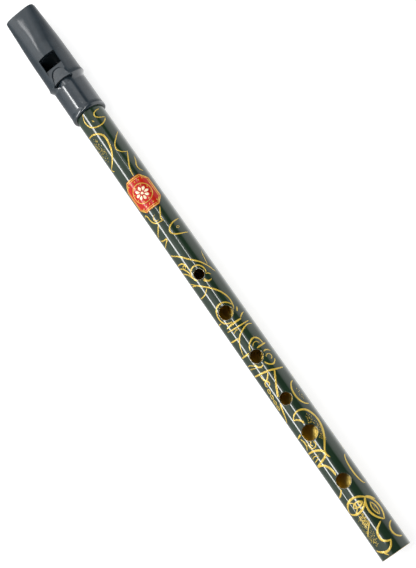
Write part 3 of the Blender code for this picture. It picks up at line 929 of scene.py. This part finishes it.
def badge_gold():
    """Border lines, the ring round the rosette and rows of dots."""
    gold = Print(BADGE_TOP - BADGE_INK_DEPTH, BADGE_TOP + BADGE_GOLD_HEIGHT)
    for inset, width in BADGE_LINES:
        reach = BADGE_REACH - degrees_at(inset)
        right = [(BADGE_CENTRE + badge_half_length(angle) - inset - BADGE_MARGIN, angle)
                 for angle in (-reach, -BADGE_BEND, BADGE_BEND, reach)]
        left = [(2.0 * BADGE_CENTRE - x, angle) for x, angle in right[::-1]]
        loop = right + left + right[:1]
        for (xa, aa), (xb, ab) in zip(loop, loop[1:]):
            gold.stroke([(xa, aa), ((xa + xb) / 2, (aa + ab) / 2), (xb, ab)], width, width)
    gold.ring(BADGE_CENTRE, 0.0, ROSETTE_RING, 0.35, 0.35)
    for k in range(PETALS):
        a = 2.0 * math.pi * (k + 0.5) / PETALS
        gold.dot(BADGE_CENTRE + ROSETTE_DOTS * math.cos(a), degrees_at(ROSETTE_DOTS * math.sin(a)), 0.28)
    for way in (-1.0, 1.0):
        for angle in (-32, -16, 0, 16, 32):
            gold.dot(BADGE_CENTRE + way * SIDE_DOTS, angle, 0.3)
    return gold


def badge_rosette():
    cream = Print(BADGE_TOP - BADGE_INK_DEPTH, BADGE_TOP + BADGE_CREAM_HEIGHT)
    for k in range(PETALS):
        a = 2.0 * math.pi * k / PETALS
        path = np.array([(BADGE_CENTRE + r * math.cos(a), r * math.sin(a))
                         for r in np.linspace(PETAL_START, PETAL_END, 9)])
        cream.stroke(None, 1.3, 0.3, 0.6, path)
    cream.dot(BADGE_CENTRE, 0.0, 0.7)
    return cream


def make_badge(materials):
    """Plain eight-sided red panel with gold lines and a rosette."""
    add_piece("badge_panel", badge_panel(), materials["red"],
              "whistle_tube", ("badge_transfer",))
    badge_gold().solid("badge_lines", materials["gold"], "gold_print")
    badge_rosette().solid("badge_rosette", materials["cream"], "cream_print")


# -------------------- studio

# Long softboxes: name, its two ends about the axis, width, and power for each square metre
STRIPS = (
    ("strip_left", (-1306.0, -1086.0, 2103.0), (-9.0, -1838.0, 642.0), 190.0, 60.0),
    ("strip_back", (-1310.0, -257.0, 899.0), (-979.0, -476.0, 1137.0), 150.0, 13.0),
    ("strip_over", (-1213.0, 687.0, 2744.0), (129.0, -182.0, 478.0), 60.0, 60.0),
)


def strip_light(name, start, end, width, power_per_area):
    """Long softbox between two points, in millimetres about the axis, facing the tube's middle."""
    a, b = Vector(start), Vector(end)
    middle = (a + b) / 2
    light = bpy.data.lights.new(name, "AREA")
    light.shape = "RECTANGLE"
    light.size = (b - a).length * MM
    light.size_y = width * MM
    light.energy = power_per_area * light.size * light.size_y
    item = bpy.data.objects.new(name, light)
    x = (b - a).normalized()
    z = (middle - middle.dot(x) * x).normalized()
    y = z.cross(x)
    rotation = Matrix((x, y, z)).transposed().to_4x4()
    item.matrix_world = Matrix.Translation((middle + Vector((0.0, 0.0, AXIS_Z))) * MM) @ rotation
    item.visible_camera = False
    bpy.context.scene.collection.objects.link(item)


# Brightness of the surroundings by direction, in degrees from overhead (+Z) towards the right (+Y)
WORLD_LEVELS = ((-180, 0.8), (-150, 0.75), (-107, 0.6), (-83, 1.0), (-63, 1.2), (-50, 1.35), (-40, 1.6),
                (-28, 1.5), (-14, 0.85), (-2, 0.9), (9, 1.2), (28, 1.3), (51, 1.0), (60, 1.2), (68, 1.6),
                (82, 1.8), (105, 1.85), (127, 2.2), (150, 2.2), (180, 0.8))
WORLD_PEAK = 2.4
PANEL_LEAN = 85.0                 # the dark panel's near edge leans with the direction along the tube
PANEL_NEAR, PANEL_FAR = (-6.0, 0.0), (48.0, 56.0)
PANEL_DARKNESS = 0.95
# Dimmer behind the mouth: between these shares of -X, between these turns, and by this much
BACK_SHADES = (((0.39, 0.45), (-62.0, -85.0), 0.6), ((0.39, 0.45), (42.0, 58.0), 0.55),
               ((0.48, 0.60), (2.0, 32.0), 0.62))


def make_world():
    """White surroundings: dimmer on the left, brighter on the right, and a dark panel right of overhead."""
    world = bpy.data.worlds.new("studio")
    world.use_nodes = True
    tree = world.node_tree
    parts = add_node(tree, "SeparateXYZ", Vector=add_node(tree, "TexCoord").outputs["Generated"])

    def maths(operation, *values):
        node = tree.nodes.new("ShaderNodeMath")
        node.operation = operation
        for socket, value in zip(node.inputs, values):
            if isinstance(value, float):
                socket.default_value = value
            else:
                tree.links.new(value, socket)
        return node.outputs["Value"]

    def rise(value, start, end):
        """0 before start degrees and 1 after end."""
        node = add_node(tree, "MapRange", Value=value,
                        From_Min=math.radians(start), From_Max=math.radians(end))
        return node.outputs["Result"]

    turn = maths("ARCTAN2", parts.outputs["Y"], parts.outputs["Z"])
    stops = [((angle + 180.0) / 360.0, (level / WORLD_PEAK,) * 3) for angle, level in WORLD_LEVELS]
    level = ramp(tree, rise(turn, -180.0, 180.0), stops)
    leaning = maths("ADD", turn, maths("MULTIPLY", parts.outputs["X"], math.radians(PANEL_LEAN)))
    panel = maths("MULTIPLY", rise(leaning, *PANEL_NEAR), maths("SUBTRACT", 1.0, rise(turn, *PANEL_FAR)))
    shade = maths("SUBTRACT", 1.0, maths("MULTIPLY", panel, PANEL_DARKNESS))
    back = maths("MULTIPLY", parts.outputs["X"], -1.0)
    for (x_near, x_far), (near, far), darkness in BACK_SHADES:
        dark = maths("MULTIPLY", rise(turn, near, far), rise(back, math.degrees(x_near), math.degrees(x_far)))
        shade = maths("MULTIPLY", shade, maths("SUBTRACT", 1.0, maths("MULTIPLY", dark, darkness)))
    strength = maths("MULTIPLY", shade, WORLD_PEAK)
    set_sockets(tree, tree.nodes["Background"], Color=level, Strength=strength)
    bpy.context.scene.world = world


def make_floor():
    """White sweep just under the whistle. It glows a little, so that it stays white."""
    builder = bmesh.new()
    reach, gap = 6000.0, 0.02
    corners = [builder.verts.new((x, y, -AXIS_Z - gap)) for x, y in
               ((-reach, -reach), (reach, -reach), (reach, reach), (-reach, reach))]
    builder.faces.new(corners)
    material, tree, shader, coordinates = new_material("white_sweep")
    tone = noise(tree, coordinates, 3.0, 2.0)
    colour = ramp(tree, tone, ((0.3, (0.30, 0.302, 0.305)), (0.7, (0.32, 0.32, 0.32))))
    set_sockets(tree, shader, Base_Color=colour, Roughness=0.9,
                Emission_Color=(1.0, 1.0, 1.0, 1.0), Emission_Strength=0.8)
    floor = add_piece("floor", builder, material)
    floor.visible_glossy = False        # the gloss shows the studio's lower half instead


def make_camera():
    """Nearly overhead, a little towards the foot, with the whistle on the frame's diagonal."""
    tilt, roll, turn = math.radians(15.0), math.radians(9.0), math.radians(55.013)
    distance, aim_x, aim_across, focal_length = 550.7, 10.07, -0.27, 80.63
    back = Vector((math.sin(tilt), math.cos(tilt) * math.sin(roll), math.cos(tilt) * math.cos(roll)))
    axis = Vector((1.0, 0.0, 0.0))
    down_tube = (axis - axis.dot(back) * back).normalized()
    across = back.cross(down_tube)
    right = math.cos(turn) * down_tube + math.sin(turn) * across
    up = back.cross(right)
    target = (Vector((aim_x, 0.0, AXIS_Z)) + aim_across * across) * MM
    data = bpy.data.cameras.new("camera")
    data.sensor_width = 36.0
    data.lens = focal_length
    data.clip_start, data.clip_end = 0.01, 50.0
    item = bpy.data.objects.new("camera", data)
    item.matrix_world = (Matrix.Translation(target + back * distance * MM)
                         @ Matrix((right, up, back)).transposed().to_4x4())
    bpy.context.scene.collection.objects.link(item)
    bpy.context.scene.camera = item


def main():
    materials = make_materials()
    make_head(materials)
    make_plug(materials)
    make_film(materials)
    make_tube(materials)
    make_ornament(materials)
    make_badge(materials)
    make_world()
    make_floor()
    for strip in STRIPS:
        strip_light(*strip)
    make_camera()
    bpy.context.scene.view_settings.view_transform = "Standard"


main()
